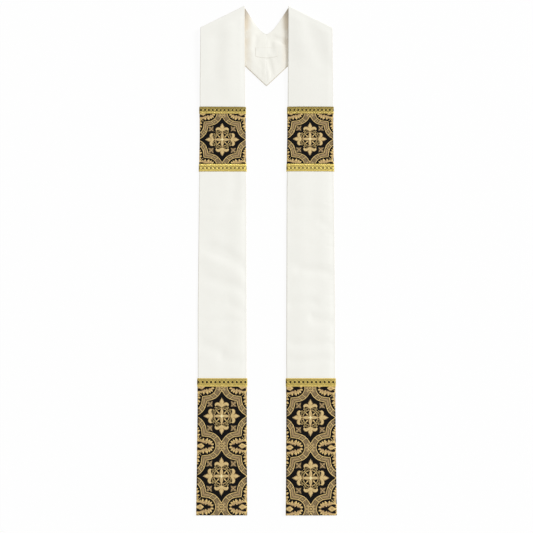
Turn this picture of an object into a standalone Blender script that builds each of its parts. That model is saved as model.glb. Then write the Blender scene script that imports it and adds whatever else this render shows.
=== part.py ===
"""Clerical stole, lying flat and face up, with both shoulders folded over and the back neck face down behind them.

Run with: blender --background --python part.py
Metres, +Z up. X runs across the stole, +Y from the hems to the neck, and z = 0 is what it lies on.
"Outer" is the panel edge away from the middle, and "inner" the edge beside the other panel or the neck.
"""

import math
from collections import namedtuple

import bmesh
import bpy
import numpy as np

# Cloth: each layer is one wall, with a gap between neighbours
WALL = 0.0010
GAP = 0.0003
EDGE_TURN = 0.0020  # width of the face cloth turned round each edge, to the depth of the lining
STEP_RUN = 0.0002  # run of the step where a turned edge meets the single cloth

# One panel's edges, left of the middle. Columns: y, x of the outer edge, x of the inner edge
HEM_Y = -0.6826
EDGES = np.array(
    [
        (HEM_Y, -0.1714, -0.0451),
        (-0.154, -0.1768, -0.0503),
        (0.115, -0.1799, -0.0523),
        (0.431, -0.1835, -0.0577),
        (0.690, -0.1850, -0.0618),
    ]
)
LEVEL_TOP = 0.378  # rows are level up to here, and above it they fan round to the shoulder fold

# Shoulder fold: its two corners in plan, and the roll of cloth between them
FOLD_OUTER = np.array([-0.1848, 0.6170])
FOLD_INNER = np.array([-0.0633, 0.6839])
ROLL_INSIDE = 0.0026  # radius left open inside the roll
OUTER_SLIDE = 0.40  # how far the outer edge runs along the fold for each length rolled

# How far the front stands over its flat height. Columns: distance from the roll's axis, lift
LIFTS = np.array([(0.000, 0.0075), (0.150, 0.0034), (0.205, 0.0000)])

# Back neck: Bezier handles of its two edges, and the seam at the middle of the back
NECK_HANDLES = np.array([(-0.0330, 0.6320), (-0.0170, 0.6030)])
LOWER_HANDLES = np.array([(-0.1300, 0.5730), (-0.0620, 0.5030)])
SEAM_NECK_Y = 0.5990
SEAM_POINT_Y = 0.4407
SPLIT = 0.0020  # share of the way to the seam where the back neck's own bodies start, a gap past the roll

# Brocade panels: y of the lower and upper cut ends
BROCADES = {"upper": (0.1966, 0.3784), "lower": (HEM_Y, -0.3559)}

# Braids over the brocade's cut ends. Columns: y of the edge past the cut, y of the edge on the brocade
BRAIDS = {
    "upper_top": (0.3804, 0.3594),
    "upper_bottom": (0.1946, 0.2156),
    "lower_top": (-0.3539, -0.3749),
}
BRAID_TURN = 0.0012  # width of the edge that is pressed down to the face cloth

# Label on the lining of the back neck
LABEL_WIDTH = 0.0620
LABEL_HEIGHT = 0.0310
LABEL_Y = 0.5415

# Fineness of the facets
COLUMNS_BETWEEN = 4
FAN_ROWS = 14
ROLL_ROWS = 8
NECK_ROWS = 9
BAND_ROWS = 3

# A layer's section. Heights are over the middle surface, between the lining and the face cloth.
# past: how far it goes past the panel's edge; turn: width of its turned edge; turn_under: how deep that goes
Layer = namedtuple("Layer", "past turn top under turn_under")
HALF_GAP = GAP / 2
FLOOR = -HALF_GAP - WALL
FACE_TOP = HALF_GAP + WALL
BROCADE_TOP = FACE_TOP + GAP + WALL
BRAID_TOP = BROCADE_TOP + GAP + WALL
LINING = Layer(-EDGE_TURN - STEP_RUN - GAP, 0, -HALF_GAP, FLOOR, FLOOR)
SHELL = Layer(0, EDGE_TURN, FACE_TOP, HALF_GAP, FLOOR)
BROCADE = Layer(GAP + WALL, WALL, BROCADE_TOP, BROCADE_TOP - WALL, FLOOR)
BRAID = Layer(GAP + WALL, 0, BRAID_TOP, BRAID_TOP - WALL, FACE_TOP + GAP)

# The roll, measured to the middle surface and to its outside
MIDDLE_RADIUS = ROLL_INSIDE - FLOOR
OUTSIDE_RADIUS = MIDDLE_RADIUS + FACE_TOP
ALONG_FOLD = (FOLD_INNER - FOLD_OUTER) / np.linalg.norm(FOLD_INNER - FOLD_OUTER)
PAST_FOLD = np.array([-ALONG_FOLD[1], ALONG_FOLD[0]])
SLIDE = ALONG_FOLD * OUTER_SLIDE * MIDDLE_RADIUS  # the outer edge's slide, for each radian rolled
AXIS_OUTER = FOLD_OUTER - PAST_FOLD * OUTSIDE_RADIUS - SLIDE * math.pi / 2
AXIS_INNER = FOLD_INNER - PAST_FOLD * OUTSIDE_RADIUS

# Finishes: colour, roughness, metallic
FINISHES = {
    "ivory_cloth": ((0.86, 0.85, 0.81), 0.70, 0.0),
    "ivory_lining": ((0.84, 0.82, 0.77), 0.55, 0.0),
    "black_gold_brocade": ((0.10, 0.08, 0.05), 0.50, 0.0),
    "gold_braid": ((0.60, 0.46, 0.15), 0.38, 0.4),
    "ivory_label": ((0.88, 0.86, 0.82), 0.45, 0.0),
}

# A row across the cloth: its ends in plan, its height (None where it lies as the front does), and
# whether the whole row is part of a turned edge
Row = namedtuple("Row", "outer inner height turned", defaults=(None, False))


def lift(points):
    """How far the front stands up at points in plan, eased between the rows of LIFTS."""
    distance = (AXIS_INNER - points) @ PAST_FOLD
    k = np.clip(np.searchsorted(LIFTS[:, 0], distance) - 1, 0, len(LIFTS) - 2)
    near, far = LIFTS[k], LIFTS[k + 1]
    share = np.clip((distance - near[:, 0]) / (far[:, 0] - near[:, 0]), 0, 1)
    eased = share * share * (3 - 2 * share)
    return near[:, 1] + (far[:, 1] - near[:, 1]) * eased


def bezier(start, handles, end, t):
    first, second = handles
    return start * (1 - t) ** 3 + first * 3 * t * (1 - t) ** 2 + second * 3 * t * t * (1 - t) + end * t**3


def front_row(outer_y, inner_y, turned=False):
    outer = (np.interp(outer_y, EDGES[:, 0], EDGES[:, 1]), outer_y)
    inner = (np.interp(inner_y, EDGES[:, 0], EDGES[:, 2]), inner_y)
    return Row(np.array(outer), np.array(inner), None, turned)


def hem_rows(layer):
    """Level rows at the hem: the cloth's end and, on a turned hem, both sides of the step up to single cloth."""
    end = HEM_Y - layer.past
    if not layer.turn:
        return [front_row(end, end)]
    turns = [end, end + layer.turn]
    single = end + layer.turn + STEP_RUN
    return [front_row(y, y, turned=True) for y in turns] + [front_row(single, single)]


def front_rows(layer):
    """Rows of one front, from the hem, up to the shoulder and round the roll to its underside."""
    rows = hem_rows(layer)
    rows += [front_row(y, y) for y in EDGES[1:, 0] if y < LEVEL_TOP]
    for k in range(FAN_ROWS):
        share = k / FAN_ROWS
        outer_y = LEVEL_TOP + (AXIS_OUTER[1] - LEVEL_TOP) * share
        inner_y = LEVEL_TOP + (AXIS_INNER[1] - LEVEL_TOP) * share
        rows.append(front_row(outer_y, inner_y))
    for k in range(ROLL_ROWS + 1):
        angle = math.pi * k / ROLL_ROWS
        out = PAST_FOLD * MIDDLE_RADIUS * math.sin(angle)
        height = OUTSIDE_RADIUS + MIDDLE_RADIUS * math.cos(angle)
        rows.append(Row(AXIS_OUTER + SLIDE * angle + out, AXIS_INNER + out, height))
    return rows


def neck_rows():
    """Rows of one half of the back neck, from just past the roll's underside to the seam at the middle of the back."""
    seam_point = np.array([-HALF_GAP, SEAM_POINT_Y])
    seam_neck = np.array([-HALF_GAP, SEAM_NECK_Y])
    rows = []
    for t in np.linspace(SPLIT, 1, NECK_ROWS + 1):
        outer = bezier(AXIS_OUTER + SLIDE * math.pi, LOWER_HANDLES, seam_point, t)
        inner = bezier(AXIS_INNER, NECK_HANDLES, seam_neck, t)
        rows.append(Row(outer, inner, -FLOOR))
    return rows


def brocade_rows(low, high):
    """Rows of a brocade panel, which wraps the hem too where it reaches it."""
    rows = hem_rows(BROCADE) if low == HEM_Y else [front_row(low, low)]
    return rows + [front_row(y, y) for y in np.linspace(low, high, BAND_ROWS + 1)[1:]]


def braid_rows(past_cut, on_brocade):
    """Rows of a braid, up the panel. Its edge past the brocade's cut end reaches down to the face cloth."""
    way = math.copysign(1, on_brocade - past_cut)
    pressed = [front_row(y, y, turned=True) for y in (past_cut, past_cut + way * BRAID_TURN)]
    single = past_cut + way * (BRAID_TURN + STEP_RUN)
    rows = pressed + [front_row(y, y) for y in (single, on_brocade)]
    return rows if way > 0 else rows[::-1]


def columns(row, layer):
    """Shares across a row for a layer's columns, and which of them are in its turned edges."""
    width = np.linalg.norm(row.inner - row.outer)
    steps = [-layer.past]
    if layer.turn:
        steps += [layer.turn - layer.past, layer.turn + STEP_RUN - layer.past]
    between = np.linspace(steps[-1], width - steps[-1], COLUMNS_BETWEEN + 2)[1:-1]
    at = np.array([*steps, *between, *(width - s for s in reversed(steps))])
    turned = [layer.turn and k < 2 for k in range(len(steps))]
    return at / width, np.array(turned + [False] * len(between) + turned[::-1], bool)


def middle_surface(rows, layer):
    """The layer's grid of points on the middle surface, and a mask of those in its turned edges."""
    grid, mask = [], []
    for row in rows:
        share, turned = columns(row, layer)
        plan = row.outer + share[:, None] * (row.inner - row.outer)
        height = -FLOOR + lift(plan) if row.height is None else np.full(len(plan), row.height)
        grid.append(np.column_stack([plan, height]))
        mask.append(turned | row.turned)
    return np.array(grid), np.array(mask)


def normals(grid):
    """Unit normals of a grid of points, pointing away from the lining."""
    found = np.cross(np.gradient(grid, axis=1), np.gradient(grid, axis=0))
    return found / np.linalg.norm(found, axis=2, keepdims=True)


def layer_solid(name, rows, layer, finish, mirrored):
    grid, turned = middle_surface(rows, layer)
    out = normals(grid)
    under = np.where(turned, layer.turn_under, layer.under)[..., None]
    top, bottom = grid + out * layer.top, grid + out * under
    if mirrored:
        top, bottom = (points * (-1, 1, 1) for points in (top, bottom))
    return closed_body(name, top, bottom, finish)


def closed_body(name, top, bottom, finish):
    """One closed body between two grids of points with the same rows and columns."""
    rows, across = top.shape[:2]
    bm = bmesh.new()
    upper = [[bm.verts.new(p) for p in line] for line in top]
    lower = [[bm.verts.new(p) for p in line] for line in bottom]
    for side in (upper, lower):
        for i in range(rows - 1):
            for j in range(across - 1):
                bm.faces.new((side[i][j], side[i][j + 1], side[i + 1][j + 1], side[i + 1][j]))
    rim = [(0, j) for j in range(across)]
    rim += [(i, across - 1) for i in range(1, rows)]
    rim += [(rows - 1, j) for j in range(across - 2, -1, -1)]
    rim += [(i, 0) for i in range(rows - 2, 0, -1)]
    for (i, j), (k, m) in zip(rim, rim[1:] + rim[:1]):
        bm.faces.new((lower[i][j], lower[k][m], upper[k][m], upper[i][j]))
    bmesh.ops.triangulate(bm, faces=bm.faces)
    bmesh.ops.recalc_face_normals(bm, faces=bm.faces)
    mesh = bpy.data.meshes.new(name)
    bm.to_mesh(mesh)
    bm.free()
    mesh.materials.append(material(finish))
    mesh.shade_smooth()
    mesh.set_sharp_from_angle(angle=math.radians(30))
    made = bpy.data.objects.new(name, mesh)
    bpy.context.collection.objects.link(made)
    return made


def material(finish):
    if finish in bpy.data.materials:
        return bpy.data.materials[finish]
    colour, roughness, metallic = FINISHES[finish]
    made = bpy.data.materials.new(finish)
    made.use_nodes = True
    shader = made.node_tree.nodes["Principled BSDF"]
    shader.inputs["Base Color"].default_value = (*colour, 1)
    shader.inputs["Roughness"].default_value = roughness
    shader.inputs["Metallic"].default_value = metallic
    return made


def label():
    """The label, a single piece over the middle seam, on top of the back neck's lining."""
    low = -FLOOR * 2 + GAP
    x, y = LABEL_WIDTH / 2, LABEL_HEIGHT / 2
    corners = np.array([[(-x, LABEL_Y - y), (x, LABEL_Y - y)], [(-x, LABEL_Y + y), (x, LABEL_Y + y)]])
    bottom, top = (np.dstack([corners, np.full((2, 2), z)]) for z in (low, low + WALL))
    return closed_body("neck_label", top, bottom, "ivory_label")


def build():
    for old in list(bpy.data.objects):
        bpy.data.objects.remove(old)
    for side, mirrored in (("left", False), ("right", True)):
        for cloth, layer, finish in (("shell", SHELL, "ivory_cloth"), ("lining", LINING, "ivory_lining")):
            layer_solid(f"{cloth}_front_{side}", front_rows(layer), layer, finish, mirrored)
            layer_solid(f"{cloth}_neck_{side}", neck_rows(), layer, finish, mirrored)
        for place, (low, high) in BROCADES.items():
            rows = brocade_rows(low, high)
            layer_solid(f"brocade_{place}_{side}", rows, BROCADE, "black_gold_brocade", mirrored)
        for place, (past_cut, on_brocade) in BRAIDS.items():
            rows = braid_rows(past_cut, on_brocade)
            layer_solid(f"braid_{place}_{side}", rows, BRAID, "gold_braid", mirrored)
    label()


build()
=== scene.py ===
import math

import bmesh
import bpy
import numpy as np
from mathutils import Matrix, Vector
from mathutils.bvhtree import BVHTree


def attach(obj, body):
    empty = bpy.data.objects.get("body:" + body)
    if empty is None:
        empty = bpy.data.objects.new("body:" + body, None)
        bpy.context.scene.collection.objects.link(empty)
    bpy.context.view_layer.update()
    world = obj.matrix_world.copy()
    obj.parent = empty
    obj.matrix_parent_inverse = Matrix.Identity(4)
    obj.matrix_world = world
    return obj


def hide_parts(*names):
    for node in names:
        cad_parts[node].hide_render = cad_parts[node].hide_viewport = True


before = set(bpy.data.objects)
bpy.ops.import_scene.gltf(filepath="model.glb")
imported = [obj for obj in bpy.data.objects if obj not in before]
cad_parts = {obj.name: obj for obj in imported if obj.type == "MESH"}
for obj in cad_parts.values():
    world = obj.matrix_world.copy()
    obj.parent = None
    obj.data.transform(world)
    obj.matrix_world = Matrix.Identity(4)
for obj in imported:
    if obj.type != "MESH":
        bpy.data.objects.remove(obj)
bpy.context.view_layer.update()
mm = 0.001
print("frame loaded")

# How the stole lies, in metres, as its solids do. The left panel is given, and the right one is its mirror
lie = {
    "hemY": -0.6812,
    "edges": np.array(  # y, x of the outer edge, x of the inner edge
        [
            (-0.6826, -0.1692, -0.0476),
            (-0.625, -0.1696, -0.0483),
            (-0.529, -0.1702, -0.0494),
            (-0.432, -0.1710, -0.0501),
            (-0.370, -0.1723, -0.0502),
            (-0.311, -0.1736, -0.0500),
            (-0.181, -0.1763, -0.0511),
            (0.142, -0.1797, -0.0538),
            (0.296, -0.1800, -0.0572),
            (0.431, -0.1832, -0.0586),
            (0.690, -0.1850, -0.0618),
        ]
    ),
    "levelTop": 0.378,  # above this the rows fan round to the shoulder fold
    "foldOuter": np.array([-0.1848, 0.6170]),
    "foldInner": np.array([-0.0633, 0.6839]),
    "rollInside": 0.0026,
    "outerSlide": 0.40,
    "lifts": np.array([(0.0, 0.0075), (0.150, 0.0034), (0.290, 0.0)]),  # distance from the roll, lift
    "neckHandles": np.array([(-0.0330, 0.6320), (-0.0170, 0.6030)]),
    "lowerHandles": np.array([(-0.1300, 0.5730), (-0.0620, 0.5030)]),
    "seamNeck": np.array([-0.00015, 0.5990]),
    "seamPoint": np.array([-0.00015, 0.4407]),
    "neckRun": 0.176,  # mean length of the back neck, from the roll to the seam
}
mirror = {"left": 1, "right": -1}
halfCloth = 0.00115  # from the middle surface to the lining's underside, and up to the face
brocadeTop = 0.00245

middleRadius = lie["rollInside"] + halfCloth
outsideRadius = middleRadius + halfCloth
foldRun = lie["foldInner"] - lie["foldOuter"]
alongFold = foldRun / np.linalg.norm(foldRun)
pastFold = np.array([-alongFold[1], alongFold[0]])
slide = alongFold * lie["outerSlide"] * middleRadius
axisOuter = lie["foldOuter"] - pastFold * outsideRadius - slide * math.pi / 2
axisInner = lie["foldInner"] - pastFold * outsideRadius
# Distances along the cloth: y on the front, then on round the roll and over the back neck
frontEnd = (axisOuter[1] + axisInner[1]) / 2
rollEnd = frontEnd + math.pi * middleRadius
clothEnd = rollEnd + lie["neckRun"]


def smooth(x):
    x = np.clip(x, 0, 1)
    return x * x * (3 - 2 * x)


def bezier(start, handles, end, t):
    first, second = handles
    return start * (1 - t) ** 3 + first * 3 * t * (1 - t) ** 2 + second * 3 * t * t * (1 - t) + end * t**3


def rowEnds(along):  # a row's two ends in plan, and the height of its middle surface past the front
    along = np.asarray(along, float)
    fan = np.clip((along - lie["levelTop"]) / (frontEnd - lie["levelTop"]), 0, 1)
    ends = []
    for column, axis in ((1, axisOuter), (2, axisInner)):
        y = np.where(along < lie["levelTop"], along, lie["levelTop"] + (axis[1] - lie["levelTop"]) * fan)
        ends.append(np.stack([np.interp(y, lie["edges"][:, 0], lie["edges"][:, column]), y], -1))
    angle = np.clip((along - frontEnd) / middleRadius, 0, math.pi)[..., None]
    out = pastFold * middleRadius * np.sin(angle)
    t = np.clip((along - rollEnd) / lie["neckRun"], 0, 1)[..., None]
    neck = [
        bezier(axisOuter + slide * math.pi, lie["lowerHandles"], lie["seamPoint"], t),
        bezier(axisInner, lie["neckHandles"], lie["seamNeck"], t),
    ]
    rolled = [axisOuter + slide * angle + out, axisInner + out]
    past = (along > frontEnd)[..., None]
    onNeck = (along > rollEnd)[..., None]
    outer, inner = (np.where(onNeck, n, np.where(past, r, e)) for n, r, e in zip(neck, rolled, ends))
    return outer, inner, outsideRadius + middleRadius * np.cos(angle[..., 0])


def panelWidth(along):
    outer, inner, _ = rowEnds(along)
    return np.linalg.norm(inner - outer, axis=-1)


def lift(plan):
    distance = (axisInner - plan) @ pastFold
    k = np.clip(np.searchsorted(lie["lifts"][:, 0], distance) - 1, 0, len(lie["lifts"]) - 2)
    near, far = lie["lifts"][k], lie["lifts"][k + 1]
    share = (distance - near[..., 0]) / (far[..., 0] - near[..., 0])
    return near[..., 1] + (far[..., 1] - near[..., 1]) * smooth(share)


# Soft troughs and ridges where the cloth doesn't lie flat, in mm.
# Columns: start x, start y, end x, end y, bow to the left of that line, reach to each side, rise
rumples = {
    "left": [
        (-165, 84, -70, 88, 0, 11, -0.42),
        (-164, -15, -52, -70, 6, 17, -1.3),
        (-160, -44, -100, -66, 0, 14, 0.3),
        (-165, -98, -53, -130, 3, 14, -0.85),
        (-101, -163, -58, -184, 0, 12, -0.55),
        (-164, -210, -53, -212, 3, 9, -0.35),
        (-171, -268, -108, -294, 2, 15, -0.82),
        (-117, -302, -62, -312, 0, 13, -0.56),
        (-104, 650, -104, 420, 0, 24, 0.8),
        (-84, 636, -78, 600, 0, 17, -0.48),
        (-136, 596, -142, 462, 0, 19, -0.65),
        (-84, 196, -86, 104, 0, 15, -0.55),
        (-170, 300, -120, 270, 0, 20, -0.35),
        (-172, -460, -60, -470, 6, 16, -0.35),
        (-168, -600, -60, -590, -5, 18, -0.35),
        (-78, 120, -76, -330, 0, 19, 0.52),
    ],
    "right": [
        (62, 92, 160, 91, 0, 11, -0.42),
        (136, 56, 168, 42, 0, 11, -0.48),
        (57, 14, 117, -3, 0, 17, -0.42),
        (76, -74, 168, -82, 2, 13, -1.15),
        (50, -112, 90, -88, 0, 13, -0.35),
        (55, -172, 130, -159, 3, 14, -0.91),
        (110, -200, 168, -209, -3, 13, -0.95),
        (56, -268, 172, -266, -2, 12, -0.72),
        (58, -315, 165, -302, 0, 11, -0.63),
        (118, 645, 168, 498, -7, 23, -1.3),
        (60, -450, 170, -462, -6, 17, -0.35),
        (58, -610, 165, -600, 5, 18, -0.35),
        (150, 330, 152, -330, 0, 16, 0.35),
    ],
    "neck": [
        (5, 526, 17, 462, 1, 6, -0.9),
        (-29, 594, -33, 546, 0, 8, -0.95),
        (-27, 545, -24, 478, 0, 9, -0.21),
        (-14, 505, -6, 450, 0, 5, -0.33),
        (16, 587, 58, 575, -2, 8, -1.45),
        (13, 586, 14, 540, 0, 7, -0.9),
        (-8, 602, -8, 470, 0, 6, 0.22),
        (-3, 606, -3, 436, 0, 1.4, 0.10),
        (8, 488, 9, 455, 0, 4, 0.3),
        (-9, 490, -8, 458, 0, 4, 0.3),
        (38, 560, 44, 505, 0, 9, 0.3),
        (38, 604, 42, 478, 0, 22, 0.35),
        (-90, 640, -60, 600, 0, 14, 0.75),
        (-42, 668, -36, 500, 0, 17, 1.05),
        (52, 584, 50, 566, 0, 10, -1.05),
    ],
}
# Each panel's rise inside its pressed edges, steep along its left and gentle along its right, in metres
crown = {
    "rise": {"left": 0.0008, "right": 0.00075, "neck": 0.0008},
    "tilt": {"left": 0.5, "right": 2.4},  # how much more it rises at the left edge, as a share
    "left": 0.0016,
    "leftSoft": 0.05,
    "steepShare": 0.55,
    "right": 0.015,
    "neckEdge": 0.005,  # where the back neck's creases end
    "neckSoft": 0.034,  # where its crown does
    "wave": 0.2,
    "waveRun": (41, 97, 60),  # mm for one radian: along, along again, and across
    "softBottom": 0.0003,  # troughs level out this near to what the cloth lies on
}
pressedDown = {"front": 0.030, "neck": 0.012}  # from the roll, where the cloth is drawn smooth
puckers = {"edge": 168.5, "run": 13, "reach": 3.2, "rise": -0.28}
for y in (104, 63, 20, -14, -67, -103, -141, -172, -208, -240, -268, -309):
    wobble = 3 * math.sin(y * 0.37)
    rumples["right"].append((puckers["edge"] - puckers["run"], y + wobble, puckers["edge"] + 8, y, 0,
                             puckers["reach"], puckers["rise"]))


def creased(table, x, y):  # each has low shoulders, and fades out over both ends of its run
    total = np.zeros_like(x)
    fade = 0.3
    for startX, startY, endX, endY, bow, reach, rise in table:
        runX, runY = endX - startX, endY - startY
        length = math.hypot(runX, runY)
        u = ((x - startX) * runX + (y - startY) * runY) / length**2
        off = ((y - startY) * runX - (x - startX) * runY) / length - bow * 4 * u * (1 - u)
        square = (off / reach) ** 2 / 2
        ends = smooth(u / fade + 0.5) * smooth((1 - u) / fade + 0.5)
        total += rise * ends * (1 - square) * np.exp(-square)
    return total * mm


def rumpled(side, plan, across, width, along):  # how far the cloth stands off what it lies on
    x = plan[..., 0] / mm * mirror[side]
    y = plan[..., 1] / mm
    fromLeft = across if side == "left" else width - across
    steep, gentle = (smooth(fromLeft / crown[key]) for key in ("left", "leftSoft"))
    margin = steep * crown["steepShare"] + gentle * (1 - crown["steepShare"])
    margin = margin * smooth((width - fromLeft) / crown["right"])
    margin = margin * (1 + crown["tilt"][side] * (1 - fromLeft / width))
    quick, slow, aside = crown["waveRun"]
    wave = 1 + crown["wave"] * np.sin(y / quick + 2.5 * np.sin(y / slow) + x / aside)
    front = crown["rise"][side] * margin * wave + creased(rumples[side], x, y)
    narrow, wide = (smooth(across / crown[key]) * smooth((width - across) / crown[key])
                    for key in ("neckEdge", "neckSoft"))
    neck = creased(rumples["neck"], x, y) * narrow + crown["rise"]["neck"] * wide
    raised = np.where(along < frontEnd, front, neck)
    raised = (raised + np.sqrt(raised**2 + crown["softBottom"] ** 2)) / 2
    fade = np.where(along < frontEnd, (frontEnd - along) / pressedDown["front"],
                    (along - rollEnd) / pressedDown["neck"])
    return raised * smooth(fade)


def middle(side, across, along):  # the surface between lining and face, at places across and along it
    outer, inner, height = rowEnds(along)
    width = np.linalg.norm(inner - outer, axis=-1)
    plan = outer + (inner - outer) * (across / width)[..., None]
    z = np.where(along > frontEnd, height, halfCloth + lift(plan))
    z = z + rumpled(side, plan, across, width, along)
    x = plan[..., 0] * mirror[side]
    return np.stack([x, plan[..., 1], z], -1)


def unit(v):
    length = np.linalg.norm(v, axis=-1, keepdims=True)
    return v / np.maximum(length, 1e-12)


def layerAt(side, across, along, offset):  # a point that far over the middle surface, towards the face
    step = 0.3 * mm
    beforeRoll = (along <= frontEnd) & (along > frontEnd - 2 * step)
    back = np.where(beforeRoll | (along > clothEnd - 2 * step), -1.0, 1.0)
    here = middle(side, across, along)
    over = middle(side, across + step, along) - here
    on = (middle(side, across, along + step * back) - here) * back[..., None]
    out = unit(np.cross(over, on)) * mirror[side]
    return here + out * np.asarray(offset)[..., None]


class Wire:  # one socket of a shader, for sums
    def __init__(self, finish, socket):
        self.finish = finish
        self.socket = socket

    def sum(self, operation, *values):
        return self.finish.add("ShaderNodeMath", {"operation": operation}, dict(enumerate(values)))

    def __add__(self, other):
        return self.sum("ADD", self, other)

    def __radd__(self, other):
        return self.sum("ADD", other, self)

    def __sub__(self, other):
        return self.sum("SUBTRACT", self, other)

    def __rsub__(self, other):
        return self.sum("SUBTRACT", other, self)

    def __mul__(self, other):
        return self.sum("MULTIPLY", self, other)

    def __rmul__(self, other):
        return self.sum("MULTIPLY", other, self)

    def __truediv__(self, other):
        return self.sum("DIVIDE", self, other)

    def __pow__(self, other):
        return self.sum("POWER", self, other)

    def sine(self):
        return self.sum("SINE", self)

    def clamped(self):
        return self.finish.add("ShaderNodeClamp", {}, {"Value": self})


class Finish:  # a material under construction
    def __init__(self, name, settings):
        self.material = bpy.data.materials.new(name)
        self.material.use_nodes = True
        self.tree = self.material.node_tree
        self.shader = self.tree.nodes["Principled BSDF"]
        for socket, value in settings.items():
            self.shader.inputs[socket].default_value = value

    def add(self, kind, settings, inputs, output=0):
        node = self.tree.nodes.new(kind)
        for key, value in settings.items():
            setattr(node, key, value)
        for key, value in inputs.items():
            self.feed(node.inputs[key], value)
        return Wire(self, node.outputs[output])

    def feed(self, socket, value):
        if isinstance(value, Wire):
            self.tree.links.new(value.socket, socket)
        else:
            socket.default_value = value

    def set(self, name, value):
        self.feed(self.shader.inputs[name], value)

    def read(self, attribute, part=None):  # a piece's own numbers, such as where it is on the cloth
        whole = self.add("ShaderNodeAttribute", {"attribute_name": attribute}, {},
                         "Fac" if part is None else "Vector")
        if part is None:
            return whole
        return self.add("ShaderNodeSeparateXYZ", {}, {"Vector": whole}, part)

    def noise(self, scale, detail=2.0, stretch=(1, 1, 1)):
        at = self.add("ShaderNodeAttribute", {"attribute_name": "clothAt"}, {}, "Vector")
        at = self.add("ShaderNodeVectorMath", {"operation": "MULTIPLY"}, {0: at, 1: stretch})
        return self.add("ShaderNodeTexNoise", {}, {"Vector": at, "Scale": scale, "Detail": detail}, "Fac")

    def mixed(self, share, first, second):
        ends = {}
        for key, value in ((6, first), (7, second)):
            ends[key] = value if isinstance(value, Wire) else (*value, 1)
        return self.add("ShaderNodeMix", {"data_type": "RGBA"}, {0: share, **ends}, 2)

    def bump(self, height, strength, distance):
        made = self.add("ShaderNodeBump", {}, {"Height": height, "Strength": strength, "Distance": distance})
        self.set("Normal", made)


def weave(finish, warpPitch, weftPitch):  # crossing threads, from the place on the cloth in mm
    warp = (finish.read("clothAt", 0) * (2 * math.pi / warpPitch)).sine()
    weft = (finish.read("clothAt", 1) * (2 * math.pi / weftPitch)).sine()
    return warp * weft * 0.5 + 0.5


ivory = {
    "face": (0.858, 0.855, 0.805),
    "faceDull": (0.822, 0.814, 0.760),
    "lining": (0.872, 0.864, 0.800),
    "liningDull": (0.842, 0.825, 0.754),
    # the brown line along the cloth's edges: partly a seam, partly painted shade
    "seam": (0.53, 0.45, 0.33),
    # painted shade colours: a warm brown where the back neck goes under the fronts, and a darker one at its
    # tip by the fold
    "warmShade": (0.77, 0.68, 0.54),
    "shade": (0.58, 0.52, 0.43),
    "clouds": 0.035,
    "slubs": 0.5,
    "slubRun": (0.08, 1.6),
    "cornerRun": 70,  # mm from the roll along the back neck
    "coverRun": 17,  # mm from where the back neck goes under a front
    "tipRun": 10,
    "edgeRun": 2.0,
    "turnRun": 12,
    "nap": 0.00010,
}


def ivoryFinish(name, clear, dull, roughness, pitch, seam, warmShade=0.0):  # seam: how strong the brown edge line, partly a seam and partly painted shade; warmShade: how strong the painted shade under the fronts
    f = Finish(name, {"Roughness": roughness, "Sheen Weight": 0.12, "Sheen Roughness": 0.45,
                      "Specular IOR Level": 0.35})
    clouds = f.noise(ivory["clouds"], 3.0)
    long, short = ivory["slubRun"]
    slubs = (f.noise(ivory["slubs"], 2.0, (long, short, 1)) * 0.55
             + f.noise(ivory["slubs"], 2.0, (short, long, 1)) * 0.45)
    colour = f.mixed((clouds * 0.7 + slubs * 0.5 - 0.25).clamped(), clear, dull)
    pastRoll = f.read("clothAt", 1) - rollEnd / mm
    # painted shade on the back neck where it goes under the fronts: warm brown in blotches, strongest near
    # the roll, and darker still at the tip by the fold
    if warmShade:
        hidden = f.read("hiddenAt")
        corner = (1.2 - pastRoll / ivory["cornerRun"]).clamped()
        patches = (clouds * 1.8 - 0.1 + corner * 0.5).clamped()
        covered = (1.15 - hidden / ivory["coverRun"]).clamped() * patches
        colour = f.mixed((covered ** 1.3 * (corner * 0.7 + warmShade)).clamped(), colour, ivory["warmShade"])
        tip = (corner * 2.5 - 1.5).clamped() * (1.3 - hidden / ivory["tipRun"]).clamped()
        colour = f.mixed(tip, colour, ivory["shade"])
    # a brown line along the edges, partly seam and partly painted shade, stronger on the back neck
    onNeck = (pastRoll / ivory["turnRun"]).clamped()
    seamAndShade = (1.2 - f.read("edgeAt") / ivory["edgeRun"]).clamped() * (onNeck * (0.9 - seam) + seam)
    f.set("Base Color", f.mixed(seamAndShade, colour, ivory["seam"]))
    f.set("Roughness", roughness - 0.08 + slubs * 0.16)
    f.bump(weave(f, pitch, pitch * 1.15) * 0.6 + slubs * 0.7, 0.45, ivory["nap"])
    return f.material


faceFinish = ivoryFinish("ivory face cloth", ivory["face"], ivory["faceDull"], roughness=0.62, pitch=0.55,
                         seam=0.32, warmShade=0.5)
liningFinish = ivoryFinish("ivory lining satin", ivory["lining"], ivory["liningDull"], roughness=0.48,
                           pitch=0.35, seam=0.85, warmShade=0.68)


def storePoints(mesh, name, values, kind="FLOAT"):
    made = mesh.attributes.new(name, kind, "POINT")
    field = "vector" if kind == "FLOAT_VECTOR" else "value"
    made.data.foreach_set(field, np.asarray(values, np.float32).ravel())


def tubeFaces(rows, ring):  # quads round a row of closed rings, and a cap at each end
    i, j = np.meshgrid(np.arange(rows - 1), np.arange(ring), indexing="ij")
    k = (j + 1) % ring
    quads = np.stack([i * ring + j, i * ring + k, (i + 1) * ring + k, (i + 1) * ring + j], -1).reshape(-1, 4)
    return quads.tolist() + [list(range(ring)), [(rows - 1) * ring + c for c in range(ring)][::-1]]


def ringed(over, under):  # rows that run over a piece and back under it
    return np.concatenate([over, under[:, ::-1]], axis=1)


def ringMesh(name, points, places):  # places are where its points are on the cloth, in mm
    mesh = bpy.data.meshes.new(name)
    mesh.from_pydata(points.reshape(-1, 3).tolist(), [], tubeFaces(*points.shape[:2]))
    storePoints(mesh, "clothAt", np.stack(np.broadcast_arrays(*places), -1), "FLOAT_VECTOR")
    return mesh


def newObject(name, data):
    made = bpy.data.objects.new(name, data)
    bpy.context.collection.objects.link(made)
    return made


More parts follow.
